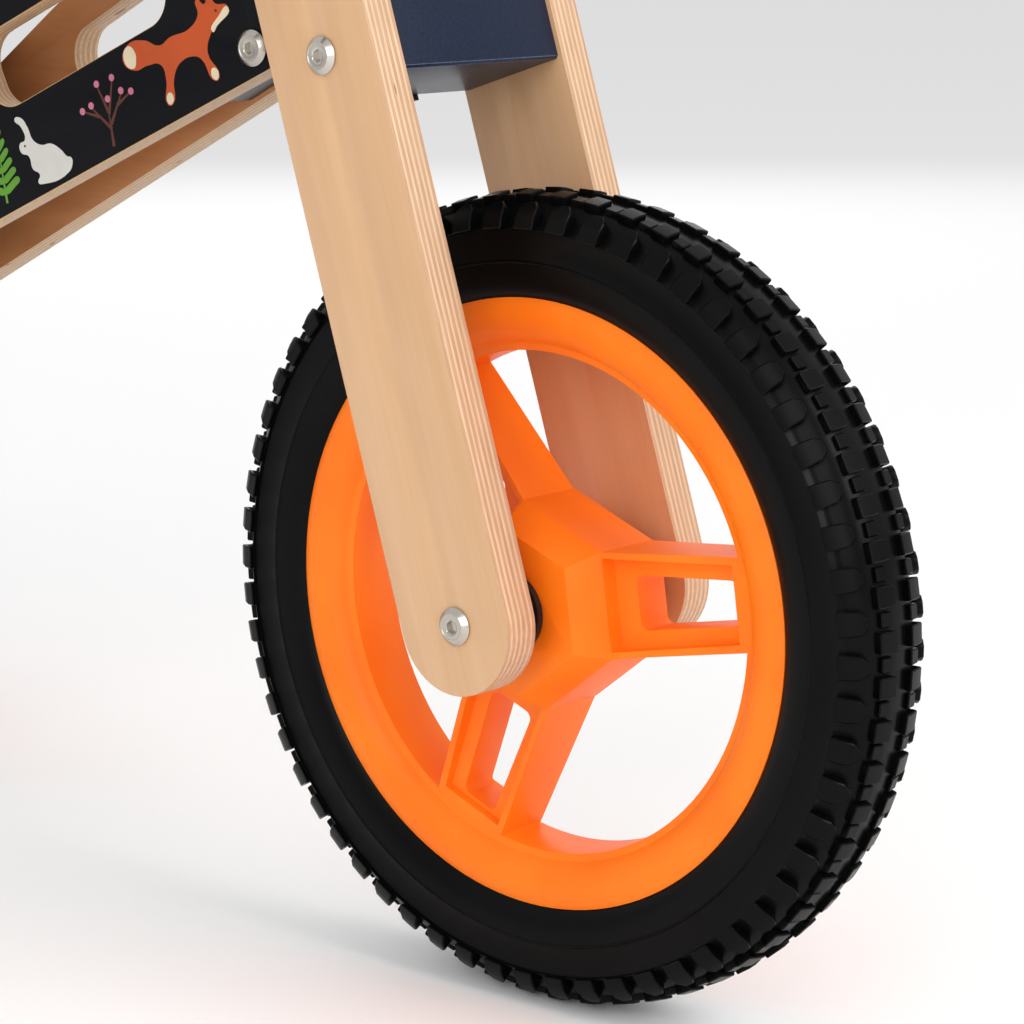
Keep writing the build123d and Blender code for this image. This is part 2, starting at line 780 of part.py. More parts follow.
def build():
    blade = left_blade()
    panel = left_panel()
    grip = left_grip()
    wheel = rim()
    rubber = tyre()
    crown_heights, bar_heights = block_bolt_heights()
    outer_rings = bearing_rings(bearing_radius, race_radius + running_fit)
    inner_rings = bearing_rings(race_radius, axle_radius)
    rear_half = outer_flat_y(rear_x, head_radius + 1)
    return {
        "frame_panel_left": [panel],
        "frame_panel_right": [mirror(panel, Plane.XZ)],
        "head_fitting": [head_fitting()],
        "head_bolts": head_bolts(),
        "steering_bushes": steering_bushes(),
        "clamp_bolts": clamp_bolts(),
        "clamp_nuts": [clamp_nut(x) for x in clamp_bolt_xs()],
        "rear_axle": placed([drilled_axle(rear_half)], at_rear_axle),
        "rear_axle_bolts": placed(axle_bolts(rear_half), at_rear_axle),
        "rear_bearing_caps": rear_caps(),
        "rear_bearing_inner_rings": placed(inner_rings, at_rear_axle),
        "fork_blade_left": [blade],
        "fork_blade_right": [mirror(blade, Plane.XZ)],
        "crown_block": [crown_block()],
        "crown_bolts": placed(block_bolts(crown_heights), at_fork),
        "steering_bracket": [steering_bracket()],
        "bracket_screws": placed(upright_bracket_screws(), at_fork),
        "steering_pin": [steering_pin()],
        "steering_nut": [steering_nut()],
        "thrust_washers": thrust_washers(),
        "bar_block": [bar_block()],
        "bar_block_bolts": placed(block_bolts(bar_heights), at_fork),
        "bar_lock_screw": [bar_lock_screw()],
        "handlebar": [handlebar()],
        "grip_left": [grip],
        "grip_right": [mirror(grip, Plane.XZ)],
        "front_axle": placed([drilled_axle(fork_half)], at_fork),
        "front_axle_bolts": placed(axle_bolts(fork_half), at_fork),
        "front_bearing_caps": placed(both_sides(bearing_cap(gap_half)), at_front_axle),
        "front_bearing_inner_rings": placed(inner_rings, at_front_axle),
        "front_rim": placed([wheel], at_front_axle),
        "front_tyre": placed([rubber], at_front_axle),
        "front_bearing_outer_rings": placed(outer_rings, at_front_axle),
        "rear_rim": placed([wheel], at_rear_axle),
        "rear_tyre": placed([rubber], at_rear_axle),
        "rear_bearing_outer_rings": placed(outer_rings, at_rear_axle),
        "seat_post": [seat_post()],
        "seat_base": [seat_base()],
        "seat_cushion": [seat_cushion()],
        "seat_screws": seat_screws(),
    }


os.makedirs("parts", exist_ok=True)
for name, shapes in build().items():
    shape = shapes[0] if len(shapes) == 1 else Compound(children=shapes)
    export_step(shape, f"parts/{name}.step")
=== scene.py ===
# %% [markdown]
# # A child's balance bike
# The CAD model holds every real size and every joint of this bike. Blender adds what the CAD
# leaves out: tread on the foam tyres, plies along the edges of the birch plywood, a printed
# woodland on the frame, worn paint and a sewn seat. The CAD model is loaded first as a fixed
# frame.

# %% Load the frame
import json
import math

import bmesh
import bpy
from mathutils import Matrix, Vector


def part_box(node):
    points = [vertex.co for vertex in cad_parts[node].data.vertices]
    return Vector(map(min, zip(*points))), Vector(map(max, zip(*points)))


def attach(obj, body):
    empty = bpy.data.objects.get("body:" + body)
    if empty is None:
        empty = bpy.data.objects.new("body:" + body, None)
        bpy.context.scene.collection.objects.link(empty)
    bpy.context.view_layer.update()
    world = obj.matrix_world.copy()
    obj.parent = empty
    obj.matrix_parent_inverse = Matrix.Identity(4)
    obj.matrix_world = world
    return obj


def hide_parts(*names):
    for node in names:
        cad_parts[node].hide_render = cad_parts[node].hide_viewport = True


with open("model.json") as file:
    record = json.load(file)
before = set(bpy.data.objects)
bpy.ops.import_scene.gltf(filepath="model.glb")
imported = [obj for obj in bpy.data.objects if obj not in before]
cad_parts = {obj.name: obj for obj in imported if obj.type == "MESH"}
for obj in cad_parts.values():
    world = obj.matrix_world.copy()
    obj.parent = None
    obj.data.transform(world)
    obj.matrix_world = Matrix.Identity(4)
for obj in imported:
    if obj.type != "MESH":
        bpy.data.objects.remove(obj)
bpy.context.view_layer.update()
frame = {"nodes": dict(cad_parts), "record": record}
mm = 0.001

front_low, front_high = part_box("front_rim")
rear_low, rear_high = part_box("rear_rim")
front_hub = (front_low + front_high) / 2
rear_hub = (rear_low + rear_high) / 2
steering = next(j for j in frame["record"]["behaviour"]["joints"] if j["name"] == "steering")
fork_up = Vector(steering["axis"]).normalized()
fork_tilt = math.atan2(-fork_up.x, fork_up.z)
print("nodes", len(frame["nodes"]), "wheelbase", round((front_hub - rear_hub).length / mm, 1), "mm")

# %% [markdown]
# The packshot look of a catalogue comes from a pale floor, a pale surround and large soft
# lights. Area lights two metres wide wrap round the wheel and leave long, soft highlights on
# the foam and the paint. The strongest stands ahead of the bike, so that the front edges of
# the fork are lighter than its sides.

# %% Colour, surround and floor
def linear(code):
    """A colour given as an sRGB hex value, such as D6AE85, in linear light with full alpha."""
    parts = [int(code[i:i + 2], 16) / 255 for i in (0, 2, 4)]
    return [p / 12.92 if p <= 0.04045 else ((p + 0.055) / 1.055) ** 2.4 for p in parts] + [1.0]


def add(tree, kind, settings=None, links=None):
    """Add a node, set its properties, sockets and ramp colours, and link its inputs."""
    node = tree.nodes.new(kind)
    for key, value in (settings or {}).items():
        if key == "stops":
            marks = node.color_ramp.elements
            while len(marks) < len(value):
                marks.new(0.5)
            for mark, (place, code) in zip(marks, value):
                mark.position = place
                mark.color = linear(code)
        elif isinstance(key, int) or key in node.inputs:
            node.inputs[key].default_value = value
        else:
            setattr(node, key, value)
    for key, source in (links or {}).items():
        tree.links.new(source, node.inputs[key])
    return node


def new_material(name):
    """An empty node material with a Principled shader already joined to its output."""
    material = bpy.data.materials.new(name)
    material.use_nodes = True
    tree = material.node_tree
    tree.nodes.clear()
    shader = add(tree, "ShaderNodeBsdfPrincipled")
    add(tree, "ShaderNodeOutputMaterial", {}, {"Surface": shader.outputs["BSDF"]})
    return material, tree, shader


scene = bpy.context.scene
scene.view_settings.view_transform = "Standard"
surround = bpy.data.worlds.new("studio surround")
surround.use_nodes = True
surround.node_tree.nodes["Background"].inputs["Color"].default_value = linear("FFFFFF")
surround.node_tree.nodes["Background"].inputs["Strength"].default_value = 0.40
scene.world = surround

bpy.ops.mesh.primitive_plane_add(size=60, location=(0, 0, 0))
floor = bpy.context.object
floor.name = "studio_floor"
floor_paint, tree, shader = new_material("matt white studio floor")
shader.inputs["Base Color"].default_value = linear("FAFAFA")
shader.inputs["Roughness"].default_value = 0.9
floor.data.materials.append(floor_paint)

# %% Lights
def softbox(name, place, size, power):
    """A square area light that looks at the middle of the bike."""
    bpy.ops.object.light_add(type="AREA", location=place)
    light = bpy.context.object
    light.name = name
    light.data.size = size
    light.data.energy = power
    light.rotation_mode = "QUATERNION"
    light.rotation_quaternion = (Vector((0.1, 0, 0.25)) - light.location).to_track_quat("-Z", "Y")
    return light


softbox("key softbox ahead", (2.6, 0.2, 1.6), 1.6, 42)
softbox("fill softbox at the side", (1.5, -2.5, 1.3), 2.0, 29)
softbox("white ceiling", (0.0, 0.0, 7.0), 80, 7400)
softbox("back softbox", (-1.8, 2.2, 1.6), 2.0, 12)

# %% [markdown]
# The camera stands ahead of the bike and to its right, a little above the axle, with a long
# lens, as for a close view of a front wheel. Its three directions were worked out once from
# the wheel's circles and the fork's edges, and are written here in the bike's own frame.

# %% Camera
bpy.ops.object.camera_add()
camera = bpy.context.object
camera.name = "front_wheel_camera"
camera.data.lens = 112.8
camera.data.sensor_width = 36
right = Vector((0.764390, 0.644754, 0.0))
down = Vector((0.124167, -0.147206, -0.981281))
ahead = Vector((-0.632685, 0.750081, -0.192580))
stand = front_hub + Vector((0.734891, -0.898970, 0.260630))
turn = Matrix((right, -down, -ahead)).transposed().to_4x4()
camera.matrix_world = Matrix.Translation(stand) @ turn
camera.data.clip_start = 0.05
scene.camera = camera
print("camera stands", [round(v, 3) for v in camera.matrix_world.translation])

# %% [markdown]
# # Helpers for modelling
# Every piece below starts as a primitive and is shaped by the operators that a person would
# use in edit mode. An operator works on whatever is selected, so each helper first clears
# the selection, and faces or edges are then picked by where they are or which way they look.

# %% Selecting
def only(piece):
    """Leave one object selected and active, in object mode."""
    if bpy.context.object and bpy.context.object.mode != "OBJECT":
        bpy.ops.object.mode_set(mode="OBJECT")
    bpy.ops.object.select_all(action="DESELECT")
    piece.select_set(True)
    bpy.context.view_layer.objects.active = piece
    return piece


def clear():
    """Leave nothing selected, so that a new primitive stands alone."""
    if bpy.context.object and bpy.context.object.mode != "OBJECT":
        bpy.ops.object.mode_set(mode="OBJECT")
    bpy.ops.object.select_all(action="DESELECT")


def pick_faces(piece, test):
    """In edit mode, select the faces whose middle and normal pass a test."""
    bpy.ops.mesh.select_mode(type="FACE")
    bpy.ops.mesh.select_all(action="DESELECT")
    cage = bmesh.from_edit_mesh(piece.data)
    for face in cage.faces:
        if test(face.calc_center_median(), face.normal):
            face.select_set(True)
    bmesh.update_edit_mesh(piece.data)


def pick_edges(piece, test):
    """In edit mode, select the edges whose two ends pass a test."""
    bpy.ops.mesh.select_mode(type="EDGE")
    bpy.ops.mesh.select_all(action="DESELECT")
    cage = bmesh.from_edit_mesh(piece.data)
    for edge in cage.edges:
        if test(edge.verts[0].co) and test(edge.verts[1].co):
            edge.select_set(True)
    bmesh.update_edit_mesh(piece.data)


# %% Finishing
def use(piece, kind, **settings):
    """Add a modifier, set it and apply it."""
    only(piece)
    modifier = piece.modifiers.new(kind.lower(), kind)
    for key, value in settings.items():
        setattr(modifier, key, value)
    bpy.ops.object.modifier_apply(modifier=modifier.name)
    return piece


def ease_edges(piece, width, segments=2, angle=30, material=-1):
    """Round every edge sharper than an angle, as sanding or a mould does."""
    return use(piece, "BEVEL", width=width * mm, segments=segments, limit_method="ANGLE",
               angle_limit=math.radians(angle), material=material, harden_normals=False,
               use_clamp_overlap=True)


def smooth(piece, angle=35):
    """Shade a piece smooth, except across edges sharper than an angle."""
    only(piece)
    bpy.ops.object.shade_smooth_by_angle(angle=math.radians(angle))
    return piece


def settle(piece):
    """Put a piece's place into its mesh, as a CAD node has it."""
    only(piece)
    bpy.ops.object.transform_apply(location=True, rotation=True, scale=True)
    return piece


def copy_of(piece, name):
    """A copy with a mesh of its own."""
    twin = piece.copy()
    twin.data = piece.data.copy()
    twin.name = name
    bpy.context.collection.objects.link(twin)
    return twin


def joined(pieces, name):
    """Join several meshes into one piece."""
    only(pieces[0])
    for piece in pieces[1:]:
        piece.select_set(True)
    bpy.ops.object.join()
    pieces[0].name = name
    return pieces[0]


def finished(piece, body, slot, *nodes):
    """Hang a piece on its body and hide the CAD nodes it stands for."""
    if nodes:
        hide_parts(*nodes)
    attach(piece, body)
    only(piece)
    low = [round(min(v.co[i] for v in piece.data.vertices) / mm) for i in range(3)]
    high = [round(max(v.co[i] for v in piece.data.vertices) / mm) for i in range(3)]
    print(piece.name, "faces", len(piece.data.polygons), "from", low, "to", high, "mm")
    return piece


# %% Turning on a lathe
def turned(name, rings, sides=96, closed=False):
    """A shape turned about Y. Rings are (radius, y) in mm, from one end to the other."""
    clear()
    radius, along = rings[0]
    bpy.ops.mesh.primitive_circle_add(vertices=sides, radius=radius * mm, fill_type="NOTHING",
                                      location=(0, along * mm, 0), rotation=(math.pi / 2, 0, 0))
    piece = bpy.context.object
    piece.name = name
    settle(piece)
    bpy.ops.object.mode_set(mode="EDIT")
    bpy.ops.mesh.select_mode(type="EDGE")
    bpy.ops.mesh.select_all(action="SELECT")
    for (wide, here), (narrow, there) in zip(rings, rings[1:]):
        bpy.ops.mesh.extrude_region_move(
            TRANSFORM_OT_translate={"value": (0, (there - here) * mm, 0)})
        grow = narrow / wide
        bpy.ops.transform.resize(value=(grow, 1, grow), center_override=(0, 0, 0))
    for wide, here in (rings[0], rings[-1]):
        def on_ring(point, wide=wide, here=here):
            return (abs(point.y - here * mm) < 1e-6
                    and abs(math.hypot(point.x, point.z) - wide * mm) < 2e-6)
        if not closed:
            pick_edges(piece, on_ring)
            bpy.ops.mesh.edge_face_add()
    if closed:
        (first, begin), (last, end) = rings[0], rings[-1]
        pick_edges(piece, lambda p: any(
            abs(p.y - h * mm) < 1e-6 and abs(math.hypot(p.x, p.z) - w * mm) < 2e-6
            for w, h in ((first, begin), (last, end))))
        bpy.ops.mesh.bridge_edge_loops()
    bpy.ops.mesh.select_all(action="SELECT")
    bpy.ops.mesh.normals_make_consistent(inside=False)
    bpy.ops.object.mode_set(mode="OBJECT")
    return piece


# %% [markdown]
# # Finishes
# Each finish is named for what the real surface is. Patterns read Object coordinates, which
# on this bike are the bike's own frame in metres, so a grain line 1 mm apart needs a scale
# near 1000. The helper below ends a finish: it links the colour, and turns a height into a
# bump of a given depth.

# %% Ending a finish
def finish_with(tree, shader, colour=None, height=None, depth=0.1, rough=None, **fixed):
    """Link a finish's colour, roughness and bump height, and set what is constant."""
    if colour is not None:
        tree.links.new(colour, shader.inputs["Base Color"])
    if rough is not None:
        tree.links.new(rough, shader.inputs["Roughness"])
    if height is not None:
        bump = add(tree, "ShaderNodeBump", {"Strength": 1.0, "Distance": depth * mm},
                   {"Height": height})
        tree.links.new(bump.outputs["Normal"], shader.inputs["Normal"])
    for key, value in fixed.items():
        shader.inputs[key.replace("_", " ")].default_value = value


def along_grain(tree, turn_y, stretch):
    """Object coordinates turned so that the grain runs along Z, then stretched along it."""
    here = add(tree, "ShaderNodeTexCoord")
    level = add(tree, "ShaderNodeMapping", {"Rotation": (0, turn_y, 0)},
                {"Vector": here.outputs["Object"]})
    return add(tree, "ShaderNodeMapping", {"Scale": (1, 1, stretch)},
               {"Vector": level.outputs["Vector"]}).outputs["Vector"]


# %% [markdown]
# Rotary-cut birch is pale and even. Its grain shows as faint streaks a millimetre or two
# apart that run the length of the board, under broader changes of tone. A satin lacquer
# gives it a soft gloss. The faces and the cut edges need two materials, because an edge
# shows the plies end on.

# %% Lacquered birch face
def birch_face(name, turn_y, light="D8AE84", dark="C89B6E"):
    """Birch veneer under satin lacquer, with its grain turned about Y."""
    material, tree, shader = new_material(name)
    fine = add(tree, "ShaderNodeTexNoise", {"Scale": 620, "Detail": 3, "Roughness": 0.6},
               {"Vector": along_grain(tree, turn_y, 0.025)})
    broad = add(tree, "ShaderNodeTexNoise", {"Scale": 70, "Detail": 2, "Distortion": 0.6},
                {"Vector": along_grain(tree, turn_y, 0.09)})
    both = add(tree, "ShaderNodeMath", {"operation": "MULTIPLY_ADD", 1: 0.45},
               {0: fine.outputs["Fac"], 2: broad.outputs["Fac"]})
    tone = add(tree, "ShaderNodeValToRGB", {"stops": [(0.30, dark), (1.05, light)]},
               {"Fac": both.outputs["Value"]})
    finish_with(tree, shader, tone.outputs["Color"], fine.outputs["Fac"], 0.015,
                Roughness=0.42, IOR=1.5, Coat_Weight=0.35, Coat_Roughness=0.28)
    return material


# %% [markdown]
# The cut edge of birch plywood shows thin plies: side grain looks smooth and pale, and the
# plies turned across it look rougher and pinker, with a thin glue line between. A short dark
# gap appears here and there where a ply was patched. The plies are counted by the distance
# through the board, which one dot product gives for a board that stands at any angle.

# %% Plywood edge
def birch_edge(name, through, turn_y, ply=1.35, pale="DDBE9A", pink="C79C7C"):
    """The edge of birch plywood. Through is the board's direction over (x, |y|, z)."""
    material, tree, shader = new_material(name)
    here = add(tree, "ShaderNodeTexCoord")
    parts = add(tree, "ShaderNodeSeparateXYZ", {}, {"Vector": here.outputs["Object"]})
    side = add(tree, "ShaderNodeMath", {"operation": "ABSOLUTE"}, {0: parts.outputs["Y"]})
    folded = add(tree, "ShaderNodeCombineXYZ", {},
                 {"X": parts.outputs["X"], "Y": side.outputs["Value"], "Z": parts.outputs["Z"]})
    depth = add(tree, "ShaderNodeVectorMath", {"operation": "DOT_PRODUCT", 1: through},
                {0: folded.outputs["Vector"]})
    wander = add(tree, "ShaderNodeTexNoise", {"Scale": 160, "Detail": 2},
                 {"Vector": along_grain(tree, turn_y, 0.12)})
    shifted = add(tree, "ShaderNodeMath", {"operation": "MULTIPLY_ADD", 1: 0.35 * mm},
                  {0: wander.outputs["Fac"], 2: depth.outputs["Value"]})
    count = add(tree, "ShaderNodeMath", {"operation": "DIVIDE", 1: 2 * ply * mm},
                {0: shifted.outputs["Value"]})
    ply_place = add(tree, "ShaderNodeMath", {"operation": "FRACT"}, {0: count.outputs["Value"]})
    plies = add(tree, "ShaderNodeValToRGB", {"stops": [
        (0.00, pale), (0.42, pale), (0.49, "B98E68"), (0.56, pink), (0.93, pink),
        (0.99, "B98E68")]}, {"Fac": ply_place.outputs["Value"]})
    fibre = add(tree, "ShaderNodeTexNoise", {"Scale": 900, "Detail": 3},
                {"Vector": along_grain(tree, turn_y, 0.06)})
    fibres = add(tree, "ShaderNodeValToRGB", {"stops": [(0.3, "E2DCD6"), (0.7, "FFFFFF")]},
                 {"Fac": fibre.outputs["Fac"]})
    grained = add(tree, "ShaderNodeMix", {"data_type": "RGBA", "blend_type": "MULTIPLY", 0: 0.8},
                  {6: plies.outputs["Color"], 7: fibres.outputs["Color"]})
    patch = add(tree, "ShaderNodeTexNoise", {"Scale": 330, "Detail": 0},
                {"Vector": along_grain(tree, turn_y, 0.16)})
    gap = add(tree, "ShaderNodeMapRange", {"From Min": 0.83, "From Max": 0.85},
              {"Value": patch.outputs["Fac"]})
    final = add(tree, "ShaderNodeMix", {"data_type": "RGBA", 7: linear("7B4A28")},
                {0: gap.outputs["Result"], 6: grained.outputs[2]})
    finish_with(tree, shader, final.outputs[2], fibre.outputs["Fac"], 0.03,
                Roughness=0.55, IOR=1.5, Coat_Weight=0.15, Coat_Roughness=0.35)
    return material


# %% [markdown]
# The frame's outer faces carry a dark printed film. Where a router has eased its edges, the
# film is cut away and a thin line of bare birch shows.

# %% Printed film and eased edge
def even_finish(name, low, high, grain_mm, rough, depth=0.01, **fixed):
    """A finish of one colour that varies softly, with a fine skin of a given grain."""
    material, tree, shader = new_material(name)
    here = add(tree, "ShaderNodeTexCoord").outputs["Object"]
    cloud = add(tree, "ShaderNodeTexNoise", {"Scale": 25, "Detail": 3}, {"Vector": here})
    tone = add(tree, "ShaderNodeValToRGB", {"stops": [(0.35, low), (0.65, high)]},
               {"Fac": cloud.outputs["Fac"]})
    skin = add(tree, "ShaderNodeTexNoise", {"Scale": 1 / (grain_mm * mm), "Detail": 2},
               {"Vector": here})
    spread = add(tree, "ShaderNodeMapRange", {"To Min": rough - 0.05, "To Max": rough + 0.05},
                 {"Value": skin.outputs["Fac"]})
    finish_with(tree, shader, tone.outputs["Color"], skin.outputs["Fac"], depth,
                spread.outputs["Result"], **fixed)
    return material


film = even_finish("dark printed film", "090A0F", "0D0E14", 0.5, 0.40, 0.006,
                   IOR=1.5, Specular_IOR_Level=0.1)
bare_edge = even_finish("sanded birch edge", "BF9861", "D2AE78", 0.4, 0.55, 0.02, IOR=1.5)

# %% [markdown]
# The two blocks between the fork blades and the seat post are beech, brushed with dark blue
# paint. The brush leaves faint lines along the grain, and handling wears the edges paler.

# %% Navy paint
def brushed_paint(name, turn_y, dark, light, rough):
    """Semi-gloss paint with brush lines along the grain."""
    material, tree, shader = new_material(name)
    lines = add(tree, "ShaderNodeTexNoise", {"Scale": 750, "Detail": 3, "Roughness": 0.65},
                {"Vector": along_grain(tree, turn_y, 0.03)})
    tone = add(tree, "ShaderNodeValToRGB", {"stops": [(0.32, dark), (0.72, light)]},
               {"Fac": lines.outputs["Fac"]})
    finish_with(tree, shader, tone.outputs["Color"], lines.outputs["Fac"], 0.03,
                Roughness=rough, IOR=1.5, Specular_IOR_Level=0.15)
    return material


navy = brushed_paint("navy paint on beech", -math.pi / 2, "131C2E", "1D273D", 0.36)
navy_worn = brushed_paint("navy paint worn at edges", -math.pi / 2, "33415C", "5A667C", 0.45)

# %% [markdown]
# The wheels are moulded in a satin orange nylon. The tyres are EVA foam, whose skin is a
# closed, fine-pored satin black. Caps and bushes are plain moulded plastic and bronze.

# %% Plastics and foam
orange = even_finish("satin moulded nylon, orange", "FF760C", "FF8014", 0.35, 0.45, 0.008,
                     IOR=1.5, Specular_IOR_Level=0.25)
foam = even_finish("EVA foam skin, black", "050505", "080808", 0.30, 0.30, 0.02, IOR=1.5,
                   Specular_IOR_Level=0.09)
cap_black = even_finish("moulded nylon, black", "121212", "191919", 0.4, 0.42, 0.01, IOR=1.5)
grip_black = even_finish("soft rubber, black", "171718", "1E1E20", 0.35, 0.62, 0.03, IOR=1.5)

# %% [markdown]
# The bolts are steel with a bright nickel plating, turned and polished, so their colour is
# warm and their highlights sharp. The bracket, the head fitting and the bar are powder
# coated: the powder melts into a skin with a fine pebble of about half a millimetre.

# %% Metals
nickel = even_finish("nickel plated steel", "B5AEA4", "C9C3BA", 0.5, 0.24, 0.004, Metallic=1.0)
ground = even_finish("ground bearing steel", "8E8E8E", "A4A4A4", 0.4, 0.30, 0.004, Metallic=1.0)
bronze = even_finish("sintered bronze", "8A6236", "A67B48", 0.4, 0.42, 0.01, Metallic=1.0)
powder = even_finish("black powder coat", "131313", "1A1A1A", 0.5, 0.38, 0.02, IOR=1.5)

# %% [markdown]
# # Foam tyres
# The tyres of small balance bikes are moulded in one piece from EVA foam. They have a closed,
# satin skin, never puncture, and copy the look of an off-road tyre in soft shapes. On the
# side, a fine parting line divides a band near the rim from a hollow, darker band, and sixty
# house-shaped lugs wrap over the shoulder. Between the two shoulders run staggered lugs. The
# casing is turned on a lathe, each kind of lug is extruded once, and the lug is then
# repeated round the wheel.

# %% Casing
lug_count = 60
casing_side = [
    (149.7, 0), (149.4, 5), (148.5, 9.5), (146.9, 12.6), (144.3, 15.2), (141.9, 16.8),
    (140.3, 18.1), (139.5, 19.7), (139.1, 20.9), (138.8, 21.1), (138.6, 20.5), (138.4, 19.7),
    (137.0, 19.4), (133.0, 19.35), (129.5, 19.7), (127.6, 20.25), (127.2, 20.75), (126.8, 20.75),
    (126.4, 20.2), (123.0, 19.9), (118.5, 19.0), (115.2, 17.7), (113.6, 16.4), (112.4, 14.6),
    (102.3, 12.9),
]


def casing():
    """The tyre without its lugs, as one closed ring."""
    left = [(radius, y) for radius, y in casing_side]
    whole = [(radius, -y) for radius, y in reversed(left[1:])] + left
    shell = turned("casing", whole, sides=240, closed=True)
    return shell


# %% Lugs
def lug(name, stations, depth):
    """A lug extruded from its rim end. Stations are (y, height, tilt, half width)."""
    clear()
    y, height, tilt, half = stations[0]
    bpy.ops.mesh.primitive_plane_add(size=1, location=(0, y * mm, height * mm))
    piece = bpy.context.object
    piece.name = name
    piece.scale = (2 * half * mm, depth * mm, 1)
    piece.rotation_euler = (math.radians(tilt), 0, 0)
    settle(piece)
    bpy.ops.object.mode_set(mode="EDIT")
    bpy.ops.mesh.select_all(action="SELECT")
    for here, there in zip(stations, stations[1:]):
        step = Vector((0, (there[0] - here[0]) * mm, (there[1] - here[1]) * mm))
        bpy.ops.mesh.extrude_region_move(TRANSFORM_OT_translate={"value": step})
        middle = (0, there[0] * mm, there[1] * mm)
        bpy.ops.transform.rotate(value=-math.radians(there[2] - here[2]), orient_axis="X",
                                 center_override=middle)
        bpy.ops.transform.resize(value=(there[3] / here[3], 1, 1), center_override=middle)
    bpy.ops.mesh.select_all(action="SELECT")
    bpy.ops.mesh.normals_make_consistent(inside=False)
    bpy.ops.object.mode_set(mode="OBJECT")
    return ease_edges(piece, 0.42, segments=1, angle=25)


def round_the_wheel(piece, count, start):
    """Repeat a piece round the axle with an Array that follows a turned empty."""
    piece.data.transform(Matrix.Rotation(math.radians(start), 4, "Y"))
    clear()
    bpy.ops.object.empty_add()
    step = bpy.context.object
    step.rotation_euler = (0, math.tau / count, 0)
    use(piece, "ARRAY", count=count, use_relative_offset=False, use_object_offset=True,
        offset_object=step)
    bpy.data.objects.remove(step)
    return piece


def both_shoulders(piece):
    """Mirror a row of lugs to the other side of the tyre."""
    return use(piece, "MIRROR", use_axis=(False, True, False), use_mirror_merge=False)


def tread():
    """All the lugs of one tyre."""
    pitch = 360 / lug_count
    shoulder = lug("shoulder lugs", [
        (20.4, 139.0, 0, 4.4), (19.3, 142.4, 25, 4.35), (17.2, 145.4, 44, 4.1),
        (15.2, 147.2, 52, 2.0)], 4.2)
    second = lug("second lugs", [
        (12.1, 148.9, 76, 3.7), (8.3, 149.8, 82, 3.8), (4.4, 150.3, 87, 3.6)], 3.6)
    between = lug("blocks between", [
        (10.6, 148.6, 80, 2.7), (5.6, 149.4, 86, 2.7)], 3.2)
    rows = []
    for row, start in ((shoulder, 0), (second, pitch / 2), (between, 0)):
        both_shoulders(row)
        rows.append(round_the_wheel(row, lug_count, start))
    return rows


front_tyre = joined([casing(), *tread()], "foam_tyre_front")
smooth(front_tyre, 32)
front_tyre.data.materials.append(foam)
rear_tyre = copy_of(front_tyre, "foam_tyre_rear")
front_tyre.data.transform(Matrix.Translation(front_hub))
rear_tyre.data.transform(Matrix.Translation(rear_hub))
finished(front_tyre, "front_wheel", "foam_tyre", "front_tyre")
finished(rear_tyre, "rear_wheel", "foam_tyre", "rear_tyre")

# %% [markdown]
# # Moulded wheels
# The rims come from the CAD model, which has their real walls, windows and recesses. A mould
# can't make a razor edge, so each rim is a copy of its CAD mesh, with the loose triangles
# merged and the flat ones joined, whose edges are then rounded by half a millimetre.

# %% Eased copies of CAD parts
def merged_copy(node, name):
    """A copy of a CAD node's mesh with its triangles merged into flat faces."""
    clear()
    piece = bpy.data.objects.new(name, frame["nodes"][node].data.copy())
    bpy.context.collection.objects.link(piece)
    piece.data.materials.clear()
    only(piece)
    bpy.ops.object.mode_set(mode="EDIT")
    bpy.ops.mesh.select_all(action="SELECT")
    bpy.ops.mesh.remove_doubles(threshold=0.002 * mm)
    bpy.ops.mesh.dissolve_limited(angle_limit=math.radians(0.4))
    bpy.ops.object.mode_set(mode="OBJECT")
    return piece


def dress(piece, *materials):
    """Give a piece its materials, in slot order."""
    piece.data.materials.clear()
    for material in materials:
        piece.data.materials.append(material)
    return piece


for end, body in (("front", "front_wheel"), ("rear", "rear_wheel")):
    rim = merged_copy(end + "_rim", "moulded_rim_" + end)
    ease_edges(rim, 0.6, segments=2, angle=28)
    smooth(dress(rim, orange), 40)
    finished(rim, body, "orange_plastic", end + "_rim")

# %% [markdown]
# # Plywood
# The fork blades and the frame panels are cut from birch plywood and sanded round their
# edges. Faces are told apart by the way they look: a blade's broad faces look sideways, and
# all the rest of it is cut edge.

# %% Fork blades
blade_face = birch_face("lacquered birch, fork", fork_tilt)
blade_edge = birch_edge("birch plywood edge, fork", (0, 1, 0), fork_tilt)


def paint_faces(piece, slot, test):
    """Give a material slot to the faces that pass a test."""
    only(piece)
    bpy.ops.object.mode_set(mode="EDIT")
    pick_faces(piece, test)
    piece.active_material_index = slot
    bpy.ops.object.material_slot_assign()
    bpy.ops.object.mode_set(mode="OBJECT")


for side in ("left", "right"):
    blade = dress(merged_copy("fork_blade_" + side, "plywood_blade_" + side),
                  blade_edge, blade_face)
    ease_edges(blade, 0.9, segments=3, angle=40)
    paint_faces(blade, 1, lambda middle, normal: abs(normal.y) > 0.98)
    finished(smooth(blade), "fork", "plywood", "fork_blade_" + side)

# %% Frame panels
panel_low, panel_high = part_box("frame_panel_right")
broad = max(frame["nodes"]["frame_panel_right"].data.polygons, key=lambda face: face.area
            if face.normal.y < -0.9 else 0)
panel_out = broad.normal.copy()
panel_point = broad.center.copy()
splay = math.atan2(panel_out.x, -panel_out.y)
print("panels open by", round(math.degrees(splay), 2), "degrees a side")

# The panels' inward faces get the same birch in a darker, browner copy. This is painted shade for
# the faces that look at each other.
birch_inside_with_painted_shade = birch_face("lacquered birch, frame inside, darkened as painted shade", -math.pi / 2, "C08350", "A3683A")
panel_edge = birch_edge("birch plywood edge, frame", (math.sin(splay), math.cos(splay), 0),
                        -math.pi / 2, 1.35, "D2B590", "BC9A79")

